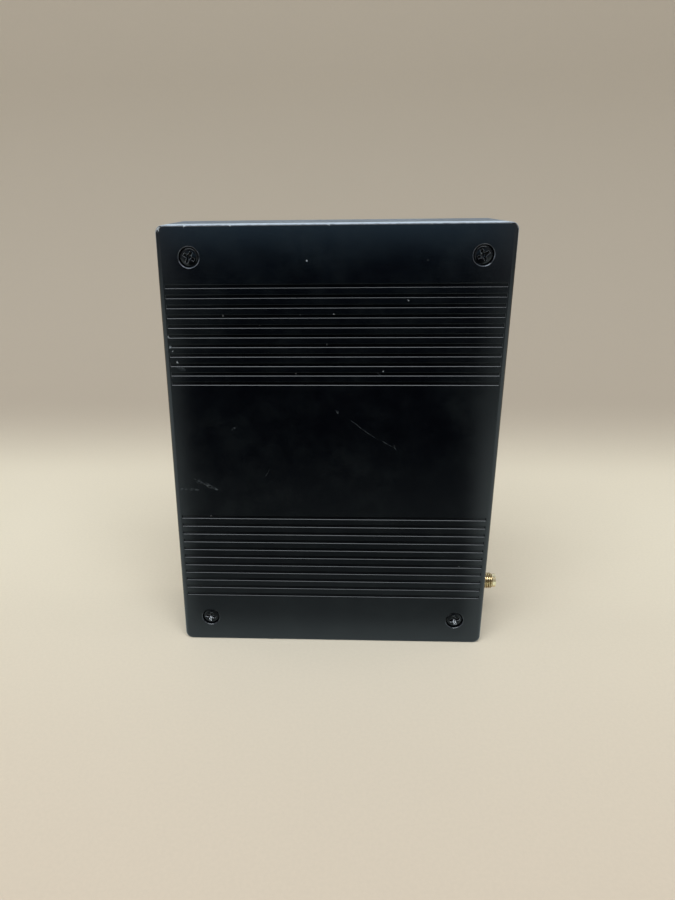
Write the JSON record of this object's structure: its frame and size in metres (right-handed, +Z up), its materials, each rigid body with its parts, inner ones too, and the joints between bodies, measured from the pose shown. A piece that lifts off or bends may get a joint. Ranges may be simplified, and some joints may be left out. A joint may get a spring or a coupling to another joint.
{
  "type": "cellular signal booster",
  "caption": "Desktop cellular signal booster: black case with a grooved screwed rear cover, side antenna jack and power inlet, and its radio board and patch antenna inside.",
  "frame": {"origin": "middle of the flat bottom end that the case stands on, half way through its depth", "axes": "+Z up along the case, +Y out of the plain front, -Y out of the grooved rear cover, +X out of the side with the jacks"},
  "size_m": [0.1226, 0.0382, 0.1543],
  "materials": {
    "cover_black": "satin black coat with fine grain, rubbed at its edges",
    "housing_black": "fine moulded texture, satin black",
    "screw_black": "black oxide, worn in the recess",
    "insert_brass": "turned",
    "gasket_rubber": "matte",
    "board_green": "green solder mask",
    "shield_tin": "tin plated sheet",
    "pad_grey": "soft and matte",
    "chip_black": "moulded epoxy",
    "filter_ceramic": "fired, unglazed",
    "can_aluminium": "drawn",
    "led_white": "diffuse lens",
    "guide_clear": "clear, frosted ends",
    "patch_copper": "bare rolled copper",
    "nylon_white": "natural",
    "coax_brown": "extruded jacket",
    "gold_plate": "gold plated, bright",
    "inlet_black": "moulded",
    "contact_nickel": "nickel plated"
  },
  "bodies": {
    "root": {"rear_cover": "cover_black", "front_housing": "housing_black", "seam_gasket": "gasket_rubber", "main_board": "board_green", "cover_screw_bottom_left": "screw_black", "cover_screw_bottom_right": "screw_black", "cover_screw_top_left": "screw_black", "cover_screw_top_right": "screw_black", "thread_insert_bottom_left": "insert_brass", "thread_insert_bottom_right": "insert_brass", "thread_insert_top_left": "insert_brass", "thread_insert_top_right": "insert_brass", "board_screw_lower_left": "contact_nickel", "board_screw_lower_right": "contact_nickel", "board_screw_upper_left": "contact_nickel", "board_screw_upper_right": "contact_nickel", "shield_fence_uplink": "shield_tin", "shield_lid_uplink": "shield_tin", "thermal_pad_uplink": "pad_grey", "power_amplifier_uplink": "chip_black", "low_noise_amplifier_uplink": "chip_black", "band_filter_uplink": "shield_tin", "shield_fence_downlink": "shield_tin", "shield_lid_downlink": "shield_tin", "thermal_pad_downlink": "pad_grey", "power_amplifier_downlink": "chip_black", "low_noise_amplifier_downlink": "chip_black", "band_filter_downlink": "shield_tin", "duplexer_low_band": "filter_ceramic", "duplexer_high_band": "filter_ceramic", "input_capacitor": "can_aluminium", "output_capacitor": "can_aluminium", "power_inductor": "chip_black", "voltage_regulator": "chip_black", "controller_chip": "chip_black", "status_led_1": "led_white", "status_led_2": "led_white", "status_led_3": "led_white", "light_guide": "guide_clear", "antenna_board": "board_green", "antenna_patch": "patch_copper", "antenna_standoff_lower_left": "nylon_white", "antenna_standoff_lower_right": "nylon_white", "antenna_standoff_upper_left": "nylon_white", "antenna_standoff_upper_right": "nylon_white", "patch_spacer": "nylon_white", "antenna_feed_pin": "gold_plate", "antenna_coax": "coax_brown", "antenna_coax_plug": "gold_plate", "jack_coax": "coax_brown", "jack_coax_plug": "gold_plate", "sma_jack_body": "gold_plate", "sma_insulator": "nylon_white", "sma_centre_contact": "gold_plate", "sma_nut": "gold_plate", "sma_lock_washer": "gold_plate", "dc_jack_body": "inlet_black", "dc_jack_pin": "contact_nickel", "dc_jack_contact": "contact_nickel"}
  },
  "joints": []
}
